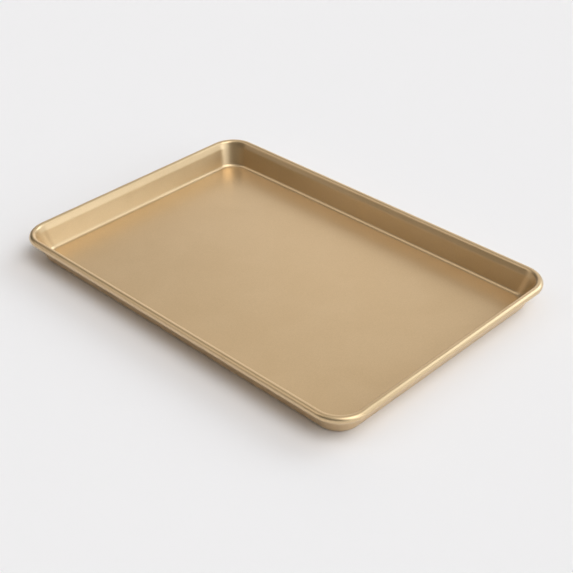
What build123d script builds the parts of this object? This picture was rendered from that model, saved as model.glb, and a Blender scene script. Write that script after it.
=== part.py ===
from build123d import *
import os
from math import acos, cos, degrees, pi, radians, sin, tan

# Jelly roll pan: one drawn sheet with flared walls and a rim rolled round a steel wire.
# Millimetres. X runs along the long side, Y along the short side, +Z is up.
# The origin is the middle of the floor's underside, where the pan rests.

# Overall size, measured over the rolled rim
pan_length = 407.0
pan_width = 278.0
pan_height = 25.8
rim_corner_radius = 27.5

# The sheet and the wire in its rim
sheet = 0.9
wire_diameter = 5.0
wire_clearance = 0.05
wire_joint_gap = 0.8

# The wall: it flares from the floor, its corners are tighter than the rim's outside,
# and its neck leans out further to meet the roll
corner_tightening = 7.0
floor_edge_radius = 4.0
wall_flare = 15
neck_flare = 24
neck_drop = 4.0
neck_bend_radius = 8.0

# The roll: the cut edge of the sheet stops this far short of the wall's back
curl_gap = 1.3

# The roll's radii about the wire, and the middle of the sheet between them
curl_inner_radius = wire_diameter / 2 + wire_clearance
curl_outer_radius = curl_inner_radius + sheet
curl_middle_radius = curl_inner_radius + sheet / 2

# The loop that the wire's axis follows, at the middle of the roll, and the wall's corners
wire_height = pan_height - curl_outer_radius
half_loop_length = pan_length / 2 - curl_outer_radius
half_loop_width = pan_width / 2 - curl_outer_radius
loop_corner_radius = rim_corner_radius - curl_outer_radius
wall_corner_radius = rim_corner_radius - corner_tightening

# The middle line of the sheet, seen across a wall, with the wire's axis at (0, 0)
curl_start = (
    -curl_middle_radius * cos(radians(neck_flare)),
    curl_middle_radius * sin(radians(neck_flare)),
)
neck_foot = (
    curl_start[0] - neck_drop * tan(radians(neck_flare)),
    curl_start[1] - neck_drop,
)
floor_middle = sheet / 2 - wire_height
wall_foot = (
    neck_foot[0] - (neck_foot[1] - floor_middle) * tan(radians(wall_flare)),
    floor_middle,
)

# The rolled rim is made apart from the wall and joins it half-way up the neck
seam = ((neck_foot[0] + curl_start[0]) / 2, (neck_foot[1] + curl_start[1]) / 2)

# The sheet is wrapped until its outer corner stands curl_gap behind the wall
open_angle = degrees(acos((curl_inner_radius - curl_gap) / curl_outer_radius))
wrap_angle = 360 - open_angle


def rim_loop(end_gap):
    """The wire's axis as one half loop, mirrored across the middle of the two long sides.

    A half is an open run with a round corner at each end of the short side, and end_gap
    keeps its first end that far short of the mirror plane.
    """
    with BuildLine(Plane.XY.offset(wire_height)) as loop:
        FilletPolyline(
            (end_gap, -half_loop_width),
            (half_loop_length, -half_loop_width),
            (half_loop_length, half_loop_width),
            (0, half_loop_width),
            radius=loop_corner_radius,
        )
        mirror(about=Plane.YZ)
    return loop.wire()


def cross_section(at_x):
    """The plane across the front long side at at_x: its x runs outward and its y runs up."""
    return Plane(origin=(at_x, -half_loop_width, wire_height), x_dir=(0, -1, 0), z_dir=(-1, 0, 0))


def face_point(middle, flare_below, flare_above, side):
    """A bend of one face of the sheet, where its offset lines meet beside the middle line.

    side is 1 for the face over the food and -1 for the face underneath.
    """
    mean = radians((flare_below + flare_above) / 2)
    reach = side * sheet / 2 / cos(radians(flare_below - flare_above) / 2)
    return (middle[0] - reach * cos(mean), middle[1] + reach * sin(mean))


def edges_at(part, bend):
    """The level edges of a part at a bend."""
    height = wire_height + bend[1]
    return part.edges().filter_by_position(Axis.Z, height - sheet / 10, height + sheet / 10)


def body_inside(side):
    """The body that one face of the sheet closes round, from the floor up to the seam.

    The wall is drafted outward, its corners are rounds of one radius that lean out with it,
    and the neck leads them over into the roll's own corners.
    """
    foot = face_point(wall_foot, 90, wall_flare, side)
    neck = face_point(neck_foot, wall_flare, neck_flare, side)
    top = (seam[0] - side * sheet / 2 / cos(radians(neck_flare)), seam[1])
    base = Plane.XY.offset(wire_height + foot[1])
    with BuildPart() as body:
        with BuildSketch(base):
            Rectangle(2 * (half_loop_length + foot[0]), 2 * (half_loop_width + foot[0]))
        extrude(amount=neck[1] - foot[1])
        draft(body.faces().filter_by(Axis.Z, reverse=True), base, -wall_flare)
        fillet(body.edges().filter_by(Plane.XY, reverse=True), wall_corner_radius - side * sheet / 2)
        with BuildSketch(Plane.XY.offset(wire_height + top[1])) as neck_top:
            RectangleRounded(
                2 * (half_loop_length + top[0]),
                2 * (half_loop_width + top[0]),
                loop_corner_radius + top[0],
            )
        loft(sections=[body.faces().sort_by(Axis.Z)[-1], neck_top.sketch.face()], ruled=True)
        fillet(edges_at(body, foot), floor_edge_radius + sheet * (1 - side) / 2)
        fillet(edges_at(body, neck), neck_bend_radius + side * sheet / 2)
    return body.part


# The pan: floor, walls and neck between the two bodies, then the rolled rim along its loop
with BuildPart() as pan_shell:
    add(body_inside(-1))
    add(body_inside(1), mode=Mode.SUBTRACT)
    with BuildSketch(cross_section(0)) as rim_section:
        with BuildLine():
            Polyline(neck_foot, curl_start)
            CenterArc((0, 0), curl_middle_radius, 180 - neck_flare, -wrap_angle)
        trace(line_width=sheet)
        with Locations(seam):
            Rectangle(neck_drop, neck_drop, align=(Align.CENTER, Align.MAX), mode=Mode.SUBTRACT)
    sweep(sections=rim_section.sketch, path=rim_loop(0))
pan_shell.part.label = "pan_shell"

# The wire: one rod along the same loop, its two ends butted in the middle of the front side
with BuildPart() as rim_wire:
    with BuildSketch(cross_section(wire_joint_gap / 2)):
        Circle(wire_diameter / 2)
    sweep(path=rim_loop(wire_joint_gap / 2))
rim_wire.part.label = "rim_wire"

os.makedirs("parts", exist_ok=True)
export_step(pan_shell.part, "parts/pan_shell.step")
export_step(rim_wire.part, "parts/rim_wire.step")

# The wire's volume against its section times the length of its axis
loop_straights = 4 * (half_loop_length + half_loop_width - 2 * loop_corner_radius)
loop_length = loop_straights + 2 * pi * loop_corner_radius
wire_volume = pi * (wire_diameter / 2) ** 2 * (loop_length - wire_joint_gap)
print("wire volume", round(rim_wire.part.volume), "expected", round(wire_volume))
print("floor length", round(2 * (half_loop_length + wall_foot[0]), 1))
print("floor width", round(2 * (half_loop_width + wall_foot[0]), 1))
print("shell volume", round(pan_shell.part.volume), "solids", len(pan_shell.part.solids()))
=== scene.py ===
"""Looks of a jelly roll pan: a gold-coated sheet tray with a rim rolled round a steel wire.

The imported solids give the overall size. The pan's sheet is modelled again with finer
curves, in the same place, and the wire keeps its solid with a drawn-steel finish.
"""

import logging
import math
from dataclasses import dataclass
from enum import Enum

import bmesh
import bpy
from mathutils import Matrix, Vector

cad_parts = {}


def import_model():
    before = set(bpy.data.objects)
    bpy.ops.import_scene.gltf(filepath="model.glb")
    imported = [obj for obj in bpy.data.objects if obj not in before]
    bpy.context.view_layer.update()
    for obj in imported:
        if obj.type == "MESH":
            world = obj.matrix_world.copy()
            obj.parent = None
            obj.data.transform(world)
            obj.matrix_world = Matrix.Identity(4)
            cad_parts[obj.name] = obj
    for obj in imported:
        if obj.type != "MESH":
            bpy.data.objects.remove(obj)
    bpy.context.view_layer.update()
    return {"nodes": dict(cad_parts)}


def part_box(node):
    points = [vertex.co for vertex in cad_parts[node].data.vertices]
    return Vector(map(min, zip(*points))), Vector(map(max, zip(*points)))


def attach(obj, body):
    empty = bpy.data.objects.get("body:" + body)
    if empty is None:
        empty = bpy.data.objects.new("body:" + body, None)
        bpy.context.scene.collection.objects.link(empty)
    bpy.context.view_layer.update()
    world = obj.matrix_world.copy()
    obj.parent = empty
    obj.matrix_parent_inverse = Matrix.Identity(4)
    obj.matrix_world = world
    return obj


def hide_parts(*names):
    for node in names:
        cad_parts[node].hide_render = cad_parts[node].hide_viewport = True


BODY = "root"
LOG = logging.getLogger("jelly_roll_pan")

# Numbers of the colour sockets on a Mix node, which has more than one socket of each name
MIX_FIRST = 6
MIX_SECOND = 7
MIX_RESULT = 2
# Types of the sockets on a node group
FLOAT_SOCKET = "NodeSocketFloat"
VECTOR_SOCKET = "NodeSocketVector"

Color = tuple[float, float, float, float]
Tree = bpy.types.ShaderNodeTree
Socket = bpy.types.NodeSocket


class Slot(Enum):
    """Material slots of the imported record."""

    GOLD_COATING = "gold_coating"
    STEEL_WIRE = "steel_wire"


class Node(Enum):
    """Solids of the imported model."""

    PAN_SHELL = "pan_shell"
    RIM_WIRE = "rim_wire"


def fill(node: bpy.types.Node, inputs: dict[str | int, object]) -> None:
    """Fills the inputs of a node.

    Args:
        node: the node.
        inputs: what its inputs take, a value or another node's output, by name or number.
    """
    for name, value in inputs.items():
        if isinstance(value, Socket):
            node.id_data.links.new(value, node.inputs[name])
        else:
            node.inputs[name].default_value = value


def put(tree: Tree, kind: str, inputs: dict[str | int, object], **settings: object) -> bpy.types.Node:
    """Adds a node to a tree.

    Args:
        tree: the tree that it goes in.
        kind: the type of node.
        inputs: what its inputs take.
        settings: its own settings.

    Returns:
        The node.
    """
    node = tree.nodes.new(kind)
    for name, value in settings.items():
        setattr(node, name, value)
    fill(node, inputs)
    return node


def maths(tree: Tree, operation: str, *values: object) -> Socket:
    """Works out one number in a node tree.

    Args:
        tree: the tree that it is worked out in.
        operation: the sum's name.
        values: its numbers, or outputs that give them.

    Returns:
        The output with the result.
    """
    return put(tree, "ShaderNodeMath", dict(enumerate(values)), operation=operation).outputs[0]


def blend(tree: Tree, share: float | Socket, first: object, second: object, how: str = "MIX") -> Socket:
    """Mixes two colours.

    Args:
        tree: the tree that they are mixed in.
        share: how much the second counts, from 0 to 1.
        first: the first colour.
        second: the second colour.
        how: the way in which they are mixed.

    Returns:
        The output with the mixed colour.
    """
    inputs = {"Factor": share, MIX_FIRST: first, MIX_SECOND: second}
    return put(tree, "ShaderNodeMix", inputs, data_type="RGBA", blend_type=how).outputs[MIX_RESULT]


def span(tree: Tree, value: Socket, low: float, high: float) -> Socket:
    """Spreads a value from 0 to 1 over a range.

    Args:
        tree: the tree that it is worked out in.
        value: the value.
        low: what 0 becomes.
        high: what 1 becomes.

    Returns:
        The output with the result.
    """
    inputs = {"Value": value, "To Min": low, "To Max": high}
    return put(tree, "ShaderNodeMapRange", inputs).outputs["Result"]


def bump(tree: Tree, height: Socket, depth: float, strength: float) -> Socket:
    """Makes a surface uneven.

    Args:
        tree: the material's tree.
        height: how high the surface is at a point, from 0 to 1.
        depth: the length that a height of 1 stands for.
        strength: how much of it shows.

    Returns:
        The output with the surface's new normal.
    """
    inputs = {"Height": height, "Distance": depth, "Strength": strength}
    return put(tree, "ShaderNodeBump", inputs).outputs["Normal"]


def put_group(tree: Tree, group: Tree, inputs: dict[str, object]) -> bpy.types.NodeOutputs:
    """Places a node group in a material.

    Args:
        tree: the material's tree.
        group: the group.
        inputs: what the group's inputs take.

    Returns:
        The group's outputs, by their names.
    """
    return put(tree, "ShaderNodeGroup", inputs, node_tree=group).outputs


def new_group(name: str, inputs: dict[str, str], outputs: dict[str, str]) -> Tree:
    """Starts a node group with its sockets.

    Args:
        name: the group's name.
        inputs: the type of each input, by its name.
        outputs: the type of each output, by its name.

    Returns:
        The group's tree.
    """
    tree = bpy.data.node_groups.new(name, "ShaderNodeTree")
    for in_out, sockets in (("INPUT", inputs), ("OUTPUT", outputs)):
        for socket, kind in sockets.items():
            tree.interface.new_socket(socket, in_out=in_out, socket_type=kind)
    return tree


def new_material(name: str) -> bpy.types.Material:
    """Starts a material that has its own shader.

    Args:
        name: the material's name.

    Returns:
        The material.
    """
    material = bpy.data.materials.new(name)
    material.use_nodes = True
    return material


def shade(material: bpy.types.Material, inputs: dict[str, object]) -> None:
    """Fills the inputs of a material's shader.

    Args:
        material: the material.
        inputs: what the shader's inputs take.
    """
    fill(material.node_tree.nodes["Principled BSDF"], inputs)


def add_object(name: str, data: bpy.types.ID) -> bpy.types.Object:
    """Adds an object to the scene.

    Args:
        name: the object's name.
        data: its mesh or camera.

    Returns:
        The object.
    """
    made = bpy.data.objects.new(name, data)
    bpy.context.scene.collection.objects.link(made)
    return made


@dataclass(frozen=True)
class GrainGroup:
    """Node group for the surface of a finished metal: fine grain and broad, faint clouds.

    Grain Size and Cloud Size are lengths on the surface, and Grain, Cloud and Height run
    from 0 to 1.
    """

    name: str = "surface_grain"
    grain_detail: float = 2.0
    cloud_detail: float = 3.0
    cloud_twist: float = 0.6
    grain_range: tuple[float, float] = (0.3, 0.7)
    cloud_range: tuple[float, float] = (0.32, 0.68)

    def tree(self) -> Tree:
        """Builds the group once.

        Returns:
            The group's tree.
        """
        if self.name in bpy.data.node_groups:
            return bpy.data.node_groups[self.name]
        inputs = {"Vector": VECTOR_SOCKET, "Grain Size": FLOAT_SOCKET, "Cloud Size": FLOAT_SOCKET}
        outputs = {"Grain": FLOAT_SOCKET, "Cloud": FLOAT_SOCKET, "Height": FLOAT_SOCKET}
        tree = new_group(self.name, inputs, outputs)
        given = put(tree, "NodeGroupInput", {}).outputs
        grain = self.noise(tree, given["Vector"], given["Grain Size"], self.grain_detail)
        cloud = self.noise(tree, given["Vector"], given["Cloud Size"], self.cloud_detail, self.cloud_twist)
        results = {
            "Grain": self.stretch(tree, grain, self.grain_range),
            "Cloud": self.stretch(tree, cloud, self.cloud_range),
            "Height": grain,
        }
        put(tree, "NodeGroupOutput", results)
        return tree

    @staticmethod
    def noise(tree: Tree, vector: Socket, size: Socket, detail: float, twist: float = 0.0) -> Socket:
        """Adds a noise of a given size.

        Args:
            tree: the tree that it goes in.
            vector: where the surface is.
            size: length of one of its lumps.
            detail: how many finer layers it has.
            twist: how far it is bent by itself.

        Returns:
            The output with the noise.
        """
        scale = maths(tree, "DIVIDE", 1.0, size)
        inputs = {"Vector": vector, "Scale": scale, "Detail": detail, "Distortion": twist}
        return put(tree, "ShaderNodeTexNoise", inputs).outputs[0]

    @staticmethod
    def stretch(tree: Tree, value: Socket, limits: tuple[float, float]) -> Socket:
        """Stretches the middle of a noise to the whole range from 0 to 1."""
        inputs = {"Value": value, "From Min": limits[0], "From Max": limits[1]}
        return put(tree, "ShaderNodeMapRange", inputs).outputs["Result"]


@dataclass(frozen=True)
class LoopGroup:
    """Node group that gives a point its place across a level loop with round corners.

    X of Place is how far the point lies outside the loop's line in plan, and Y is its height.
    """

    name: str = "across_loop"

    def tree(self) -> Tree:
        """Builds the group once.

        Returns:
            The group's tree.
        """
        if self.name in bpy.data.node_groups:
            return bpy.data.node_groups[self.name]
        inputs = {
            "Vector": VECTOR_SOCKET,
            "Half Length": FLOAT_SOCKET,
            "Half Width": FLOAT_SOCKET,
            "Corner": FLOAT_SOCKET,
        }
        tree = new_group(self.name, inputs, {"Place": VECTOR_SOCKET})
        given = put(tree, "NodeGroupInput", {}).outputs
        point = put(tree, "ShaderNodeSeparateXYZ", {0: given["Vector"]}).outputs
        beyond = []
        for axis, half in (("X", "Half Length"), ("Y", "Half Width")):
            straight = maths(tree, "SUBTRACT", given[half], given["Corner"])
            past = maths(tree, "SUBTRACT", maths(tree, "ABSOLUTE", point[axis]), straight)
            beyond.append(maths(tree, "MAXIMUM", past, 0.0))
        squares = [maths(tree, "MULTIPLY", value, value) for value in beyond]
        reach = maths(tree, "SQRT", maths(tree, "ADD", *squares))
        across = maths(tree, "SUBTRACT", reach, given["Corner"])
        place = put(tree, "ShaderNodeCombineXYZ", {"X": across, "Y": point["Z"]})
        put(tree, "NodeGroupOutput", {"Place": place.outputs[0]})
        return tree


@dataclass(frozen=True)
class Outline:
    """A level rounded rectangle that the sheet's food face passes through.

    out and up are measured from the wire's axis, and corner is the radius in plan.
    """

    out: float
    up: float
    corner: float


@dataclass(frozen=True)
class SheetSection:
    """The sheet's food face across one wall, from the floor to the cut edge of the roll.

    It is drawn with Y outward and Z upward from the wire's axis. height is the pan's own,
    over the rolled rim.
    """

    height: float
    sheet: float = 0.0009
    wire_radius: float = 0.0025
    wire_clearance: float = 0.00005
    floor_edge_radius: float = 0.004
    wall_flare: float = math.radians(15)
    neck_flare: float = math.radians(24)
    neck_drop: float = 0.004
    neck_bend_radius: float = 0.018
    curl_gap: float = 0.0013
    floor_steps: int = 14
    neck_steps: int = 10
    curl_steps: int = 72

    @property
    def curl_inner(self) -> float:
        """Radius of the roll's hollow."""
        return self.wire_radius + self.wire_clearance

    @property
    def curl_outer(self) -> float:
        """Radius of the roll's outside."""
        return self.curl_inner + self.sheet

    @property
    def wire_height(self) -> float:
        """Height of the wire's axis over the floor's underside."""
        return self.height - self.curl_outer

    @property
    def wrap(self) -> float:
        """Angle that the sheet goes round the wire."""
        return 2 * math.pi - math.acos((self.curl_inner - self.curl_gap) / self.curl_outer)

    @property
    def floor_up(self) -> float:
        """Height of the floor's upper face over the wire's axis."""
        return self.sheet - self.wire_height

    @property
    def curl_start(self) -> Vector:
        """Where the neck runs into the roll."""
        return Vector((0, -math.cos(self.neck_flare), math.sin(self.neck_flare))) * self.curl_outer

    @property
    def crease(self) -> Vector:
        """Where the wall's and the neck's food faces would meet without the bend.

        Returns:
            The point, from the wire's axis.
        """
        middle = self.curl_inner + self.sheet / 2
        foot_out = -middle * math.cos(self.neck_flare) - self.neck_drop * math.tan(self.neck_flare)
        foot_up = middle * math.sin(self.neck_flare) - self.neck_drop
        mean = (self.wall_flare + self.neck_flare) / 2
        reach = self.sheet / 2 / math.cos((self.neck_flare - self.wall_flare) / 2)
        return Vector((0, foot_out - reach * math.cos(mean), foot_up + reach * math.sin(mean)))

    @property
    def foot(self) -> Vector:
        """Where the wall's food face would meet the floor without the bend.

        Returns:
            The point, from the wire's axis.
        """
        crease = self.crease
        drop = crease.z - self.floor_up
        return Vector((0, crease.y - drop * math.tan(self.wall_flare), self.floor_up))

    @property
    def neck_reach(self) -> float:
        """Length that the neck's bend takes up on each side of its crease."""
        radius = self.neck_bend_radius + self.sheet / 2
        return radius * math.tan((self.neck_flare - self.wall_flare) / 2)

    @staticmethod
    def along(flare: float) -> Vector:
        """Direction up a wall of a given flare."""
        return Vector((0, math.sin(flare), math.cos(flare)))

    def run(self, bm: bmesh.types.BMesh, to: Vector) -> None:
        """Draws a straight stretch from the section's last vertex.

        Args:
            bm: the mesh that is drawn in.
            to: where the stretch ends.
        """
        bm.verts.ensure_lookup_table()
        last = bm.verts[-1]
        made = bmesh.ops.extrude_vert_indiv(bm, verts=[last])["verts"]
        bmesh.ops.translate(bm, verts=made, vec=to - last.co)

    def bend(self, bm: bmesh.types.BMesh, centre: Vector, turn: float, steps: int) -> None:
        """Draws an arc from the section's last vertex.

        Args:
            bm: the mesh that is drawn in.
            centre: the arc's centre.
            turn: how far it turns, from Y towards Z.
            steps: how many edges it has.
        """
        bm.verts.ensure_lookup_table()
        bmesh.ops.spin(
            bm, geom=[bm.verts[-1]], cent=centre, axis=(1, 0, 0), dvec=(0, 0, 0), angle=turn, steps=steps
        )

    def draw_wall(self, bm: bmesh.types.BMesh) -> None:
        """Draws the floor's edge, the wall and the neck, up to the roll.

        Args:
            bm: the empty mesh that is drawn in.
        """
        turn = math.pi / 2 - self.wall_flare
        reach = self.floor_edge_radius * math.tan(turn / 2)
        edge = self.foot - Vector((0, reach, 0))
        bm.verts.new(edge - Vector((0, self.sheet, 0)))
        self.run(bm, edge)
        self.bend(bm, edge + Vector((0, 0, self.floor_edge_radius)), turn, self.floor_steps)

        up_wall = self.along(self.wall_flare)
        below = self.crease - up_wall * self.neck_reach
        across = Vector((0, up_wall.z, -up_wall.y))
        self.run(bm, below)
        hub = below + across * (self.neck_bend_radius + self.sheet / 2)
        self.bend(bm, hub, self.wall_flare - self.neck_flare, self.neck_steps)
        self.run(bm, self.curl_start)

    def corner_excess(self, up: float) -> float:
        """How much rounder the wall's corner is than one concentric with the roll's.

        The wall's corners keep the radius that they have at the crease, and the bend there
        is eased.

        Args:
            up: height over the wire's axis.

        Returns:
            The difference of the radii.
        """
        ease = self.neck_reach
        below = self.crease.z - up
        if abs(below) < ease:
            below = (below + ease) ** 2 / (4 * ease)
        return max(below, 0.0) * math.tan(self.wall_flare)

    def outlines(self, loop_corner: float) -> list[Outline]:
        """Works out the level outlines that the food face is made of.

        Args:
            loop_corner: radius of the corners of the wire's axis.

        Returns:
            The outlines, from the floor outward to the cut edge of the roll.
        """
        bm = bmesh.new()
        self.draw_wall(bm)
        wall = [(vert.co.y, vert.co.z, self.corner_excess(vert.co.z)) for vert in bm.verts]
        self.bend(bm, Vector((0, 0, 0)), -self.wrap, self.curl_steps)
        bm.verts.ensure_lookup_table()
        roll = [(vert.co.y, vert.co.z, 0.0) for vert in bm.verts[len(wall):]]
        bm.free()
        return [Outline(out, up, loop_corner + out + excess) for out, up, excess in wall + roll]


@dataclass(frozen=True)
class PanShell:
    """The tray: one sheet whose food face runs through level rounded rectangles.

    length, width and height are taken over the rolled rim.
    """

    length: float
    width: float
    height: float
    rim_corner_radius: float = 0.0275
    corner_steps: int = 28
    sharp_angle: float = math.radians(40)

    @property
    def section(self) -> SheetSection:
        """The sheet's section across a wall."""
        return SheetSection(self.height)

    @property
    def half_length(self) -> float:
        """Half the length of the loop that the wire's axis makes."""
        return self.length / 2 - self.section.curl_outer

    @property
    def half_width(self) -> float:
        """Half the width of that loop."""
        return self.width / 2 - self.section.curl_outer

    @property
    def loop_corner(self) -> float:
        """Radius of the corners of that loop."""
        return self.rim_corner_radius - self.section.curl_outer

    def draw_outline(self, bm: bmesh.types.BMesh, outline: Outline, height: float) -> bmesh.types.BMFace:
        """Draws one level rounded rectangle.

        Args:
            bm: the mesh that is drawn in.
            outline: its size and its corners.
            height: where it lies for now.

        Returns:
            The face inside it.
        """
        size = Matrix.Diagonal((self.half_length + outline.out, self.half_width + outline.out, 1.0, 1.0))
        place = Matrix.Translation((0, 0, height))
        corners = bmesh.ops.create_grid(bm, x_segments=1, y_segments=1, size=1.0, matrix=place @ size)
        rounds = bmesh.ops.bevel(
            bm,
            geom=corners["verts"],
            offset=outline.corner,
            offset_type="OFFSET",
            segments=self.corner_steps,
            profile=0.5,
            affect="VERTICES",
            material=-1,
        )
        return rounds["verts"][0].link_faces[0]

    def draw_food_face(self, bm: bmesh.types.BMesh) -> None:
        """Draws the food face: a flat floor, and a skin bridged from outline to outline.

        The outlines are stacked well apart while they are bridged, and each then goes to its
        own height.

        Args:
            bm: the empty mesh that is drawn in.
        """
        section = self.section
        rings = []
        last = []
        for step, outline in enumerate(section.outlines(self.loop_corner)):
            height = step * self.height
            face = self.draw_outline(bm, outline, height)
            edges = face.edges[:]
            rings.append((face.verts[:], section.wire_height + outline.up - height))
            if last:
                bmesh.ops.delete(bm, geom=[face], context="FACES_ONLY")
                bmesh.ops.bridge_loops(bm, edges=last + edges)
            last = edges
        for verts, shift in rings:
            bmesh.ops.translate(bm, verts=verts, vec=(0, 0, shift))

    def mesh(self) -> bpy.types.Mesh:
        """Models the sheet with its thickness.

        Returns:
            The finished mesh, in the pan's frame.
        """
        bm = bmesh.new()
        self.draw_food_face(bm)
        bmesh.ops.recalc_face_normals(bm, faces=bm.faces)
        floor = max(bm.faces, key=lambda face: face.calc_area())
        if floor.normal.z < 0:
            bmesh.ops.reverse_faces(bm, faces=bm.faces)
        bmesh.ops.solidify(bm, geom=bm.faces[:], thickness=self.section.sheet)
        for face in bm.faces:
            face.smooth = True
        for edge in bm.edges:
            edge.smooth = edge.calc_face_angle(0.0) < self.sharp_angle
        mesh = bpy.data.meshes.new(Node.PAN_SHELL.value + "_sheet")
        bm.to_mesh(mesh)
        bm.free()
        return mesh

    def build(self, finish: "SatinCoating") -> bpy.types.Object:
        """Makes the tray in place of its solid.

        Args:
            finish: the coating that it is dressed in.

        Returns:
            The tray.
        """
        tray = add_object("coated_tray", self.mesh())
        tray.data.materials.append(finish.material())
        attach(tray, BODY)
        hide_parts(Node.PAN_SHELL.value)
        return tray


@dataclass(frozen=True)
class SatinCoating:
    """A satin champagne-gold coating: metal flake in a clear binder, baked on slightly uneven."""

    dull: Color = (0.712, 0.517, 0.284, 1.0)
    bright: Color = (0.742, 0.545, 0.308, 1.0)
    flake_shade: Color = (0.90, 0.895, 0.885, 1.0)
    metallic: float = 0.75
    roughness: tuple[float, float] = (0.31, 0.37)
    coat_weight: float = 0.7
    coat_roughness: float = 0.28
    flake_size: float = 0.0006
    cloud_size: float = 0.045
    bump_height: float = 0.00001
    bump_strength: float = 0.35

    def material(self) -> bpy.types.Material:
        """Builds the coating's shader.

        Returns:
            The material.
        """
        material = new_material("satin_gold_coating")
        tree = material.node_tree
        place = put(tree, "ShaderNodeTexCoord", {}).outputs["Object"]
        sizes = {"Vector": place, "Grain Size": self.flake_size, "Cloud Size": self.cloud_size}
        grain = put_group(tree, GrainGroup().tree(), sizes)
        cloudy = blend(tree, grain["Cloud"], self.dull, self.bright)
        shaded = blend(tree, 1.0, cloudy, self.flake_shade, "MULTIPLY")
        total = maths(tree, "ADD", grain["Cloud"], grain["Grain"])
        mean = maths(tree, "DIVIDE", total, 2.0)
        inputs = {
            "Base Color": blend(tree, grain["Grain"], shaded, cloudy),
            "Metallic": self.metallic,
            "Roughness": span(tree, mean, *self.roughness),
            "Normal": bump(tree, grain["Height"], self.bump_height, self.bump_strength),
            "Coat Weight": self.coat_weight,
            "Coat Roughness": self.coat_roughness,
        }
        shade(material, inputs)
        return material


@dataclass(frozen=True)
class DrawnSteel:
    """Bare steel rod with the fine lines that drawing leaves along it."""

    half_length: float
    half_width: float
    corner: float
    valley: Color = (0.40, 0.39, 0.37, 1.0)
    ridge: Color = (0.62, 0.61, 0.59, 1.0)
    metallic: float = 1.0
    roughness: tuple[float, float] = (0.28, 0.45)
    line_width: float = 0.0002
    stain_size: float = 0.0016
    bump_height: float = 0.00002
    bump_strength: float = 0.5

    def material(self) -> bpy.types.Material:
        """Builds the rod's shader.

        Returns:
            The material.
        """
        material = new_material("drawn_steel")
        tree = material.node_tree
        loop = {
            "Vector": put(tree, "ShaderNodeTexCoord", {}).outputs["Object"],
            "Half Length": self.half_length,
            "Half Width": self.half_width,
            "Corner": self.corner,
        }
        across = put_group(tree, LoopGroup().tree(), loop)["Place"]
        sizes = {"Vector": across, "Grain Size": self.line_width, "Cloud Size": self.stain_size}
        grain = put_group(tree, GrainGroup().tree(), sizes)
        inputs = {
            "Base Color": blend(tree, grain["Grain"], self.valley, self.ridge),
            "Metallic": self.metallic,
            "Roughness": span(tree, grain["Cloud"], *self.roughness),
            "Normal": bump(tree, grain["Height"], self.bump_height, self.bump_strength),
        }
        shade(material, inputs)
        return material


@dataclass(frozen=True)
class PhotoCamera:
    """The camera at the photograph's viewing angle."""

    place: tuple[float, float, float] = (0.649207, -0.645297, 0.603654)
    turn: float = math.radians(44.688)
    pitch: float = math.radians(33.822)
    roll: float = math.radians(-0.820)
    focal_pixels: float = 1202.658
    image_pixels: float = 573.0
    sensor: float = 36.0

    def build(self) -> bpy.types.Object:
        """Makes the camera and sets it as the scene's own.

        Returns:
            The camera.
        """
        data = bpy.data.cameras.new("photo_camera")
        data.sensor_width = self.sensor
        data.lens = self.focal_pixels / self.image_pixels * self.sensor
        camera = add_object("photo_camera", data)
        camera.matrix_world = (
            Matrix.Translation(self.place)
            @ Matrix.Rotation(self.turn, 4, "Z")
            @ Matrix.Rotation(math.pi / 2 - self.pitch, 4, "X")
            @ Matrix.Rotation(self.roll, 4, "Z")
        )
        bpy.context.scene.camera = camera
        return camera


class Tint(Enum):
    """Colours of the soft boxes' light."""

    COOL = (0.85, 0.925, 1.0)
    PLAIN = (1.0, 1.0, 1.0)
    WARM = (1.0, 0.93, 0.86)


@dataclass(frozen=True)
class SoftBox:
    """A round patch of light in the surround that fades out towards its edge.

    azimuth and elevation say where its middle is, and spread how far it reaches from there,
    all in degrees. strength is the light of its middle.
    """

    azimuth: float
    elevation: float
    spread: float
    strength: float
    tint: Tint

    @property
    def axis(self) -> Vector:
        """Direction of its middle."""
        around, up = math.radians(self.azimuth), math.radians(self.elevation)
        return Vector((math.cos(up) * math.cos(around), math.cos(up) * math.sin(around), math.sin(up)))

    def light(self, tree: Tree, direction: Socket) -> Socket:
        """Works out the light of the patch in a direction.

        Args:
            tree: the world's tree.
            direction: the output with the direction.

        Returns:
            The output with the tinted light.
        """
        inputs = {0: direction, 1: self.axis}
        nearness = put(tree, "ShaderNodeVectorMath", inputs, operation="DOT_PRODUCT").outputs["Value"]
        edge = math.cos(math.radians(self.spread))
        inputs = {"Value": nearness, "From Min": edge, "To Max": self.strength}
        fade = put(tree, "ShaderNodeMapRange", inputs, interpolation_type="SMOOTHSTEP").outputs["Result"]
        inputs = {0: self.tint.value, "Scale": fade}
        return put(tree, "ShaderNodeVectorMath", inputs, operation="SCALE").outputs["Vector"]


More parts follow.
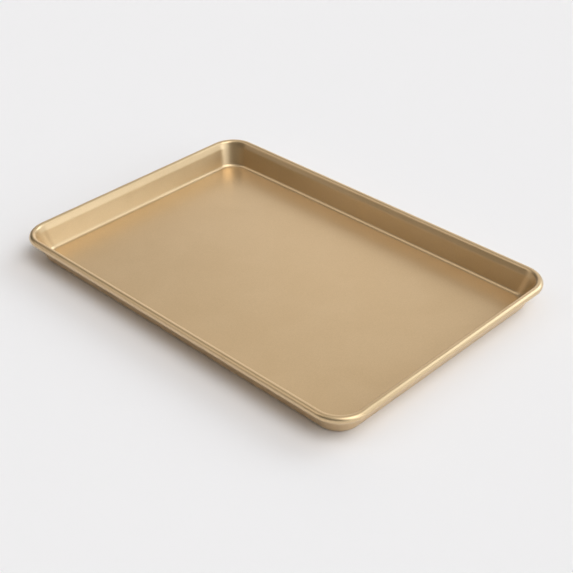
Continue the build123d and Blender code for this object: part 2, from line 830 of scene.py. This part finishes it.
@dataclass(frozen=True)
class Studio:
    """A pale floor under a surround of soft boxes, the brightest of them towards X and Y.

    backdrop is the tone of the surround near the horizon. It gives way to the soft boxes
    between the two heights of skyline, which are in degrees.
    """

    floor_size: float = 120.0
    floor_color: Color = (0.938, 0.921, 0.917, 1.0)
    floor_roughness: float = 0.9
    floor_gloss: float = 0.0
    backdrop: float = 0.865
    skyline: tuple[float, float] = (3.5, 5.5)
    soft_boxes: tuple[SoftBox, ...] = (
        SoftBox(0, 20, 30, 1.35, Tint.COOL),
        SoftBox(20, 5, 22, 2.75, Tint.COOL),
        SoftBox(60, 20, 22, 2.5, Tint.COOL),
        SoftBox(80, 35, 24, 3.1, Tint.COOL),
        SoftBox(8, 56, 32, 3.1, Tint.PLAIN),
        SoftBox(120, 20, 22, 1.05, Tint.WARM),
        SoftBox(140, 20, 22, 0.67, Tint.WARM),
        SoftBox(140, 50, 22, 0.67, Tint.WARM),
        SoftBox(220, 20, 22, 0.74, Tint.WARM),
        SoftBox(220, 50, 22, 1.4, Tint.WARM),
        SoftBox(300, 55, 30, 0.3, Tint.PLAIN),
        SoftBox(0, 90, 30, 0.7, Tint.PLAIN),
    )

    def floor(self) -> bpy.types.Object:
        """Makes the floor that the pan rests on.

        Returns:
            The floor.
        """
        bm = bmesh.new()
        bmesh.ops.create_grid(bm, x_segments=1, y_segments=1, size=self.floor_size / 2)
        mesh = bpy.data.meshes.new("floor")
        bm.to_mesh(mesh)
        bm.free()
        material = new_material("pale_floor")
        inputs = {
            "Base Color": self.floor_color,
            "Roughness": self.floor_roughness,
            "Specular IOR Level": self.floor_gloss,
        }
        shade(material, inputs)
        mesh.materials.append(material)
        floor = add_object("floor", mesh)
        return floor

    def surround(self) -> bpy.types.World:
        """Makes the surround that lights the pan.

        Up to the skyline it is pale like the floor, and above that it holds the soft boxes.

        Returns:
            The world.
        """
        world = bpy.data.worlds.new("surround")
        world.use_nodes = True
        tree = world.node_tree
        direction = put(tree, "ShaderNodeTexCoord", {}).outputs["Generated"]
        total = (0.0, 0.0, 0.0)
        for soft_box in self.soft_boxes:
            inputs = {0: total, 1: soft_box.light(tree, direction)}
            total = put(tree, "ShaderNodeVectorMath", inputs, operation="ADD").outputs["Vector"]
        height = put(tree, "ShaderNodeSeparateXYZ", {0: direction}).outputs["Z"]
        low, high = (math.sin(math.radians(angle)) for angle in self.skyline)
        inputs = {"Value": height, "From Min": high, "From Max": low}
        pale = put(tree, "ShaderNodeMapRange", inputs, interpolation_type="SMOOTHSTEP").outputs["Result"]
        plain = (self.backdrop, self.backdrop, self.backdrop, 1.0)
        fill(tree.nodes["Background"], {"Color": blend(tree, pale, total, plain)})
        bpy.context.scene.world = world
        return world

    def build(self) -> None:
        """Makes the whole studio."""
        self.floor()
        self.surround()
        bpy.context.scene.view_settings.view_transform = "Standard"


def main() -> None:
    """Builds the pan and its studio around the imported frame."""
    logging.basicConfig(level=logging.INFO, format="%(name)s: %(message)s")
    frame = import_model()

    low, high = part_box(Node.PAN_SHELL.value)
    size = high - low
    shell = PanShell(length=size.x, width=size.y, height=high.z)
    tray = shell.build(SatinCoating())
    LOG.info("%s: %d faces", tray.name, len(tray.data.polygons))

    wire = frame["nodes"][Node.RIM_WIRE.value]
    wire.data.materials.clear()
    steel = DrawnSteel(shell.half_length, shell.half_width, shell.loop_corner)
    wire.data.materials.append(steel.material())
    LOG.info("%s: dressed", wire.name)

    Studio().build()
    PhotoCamera().build()


if __name__ == "__main__":
    main()
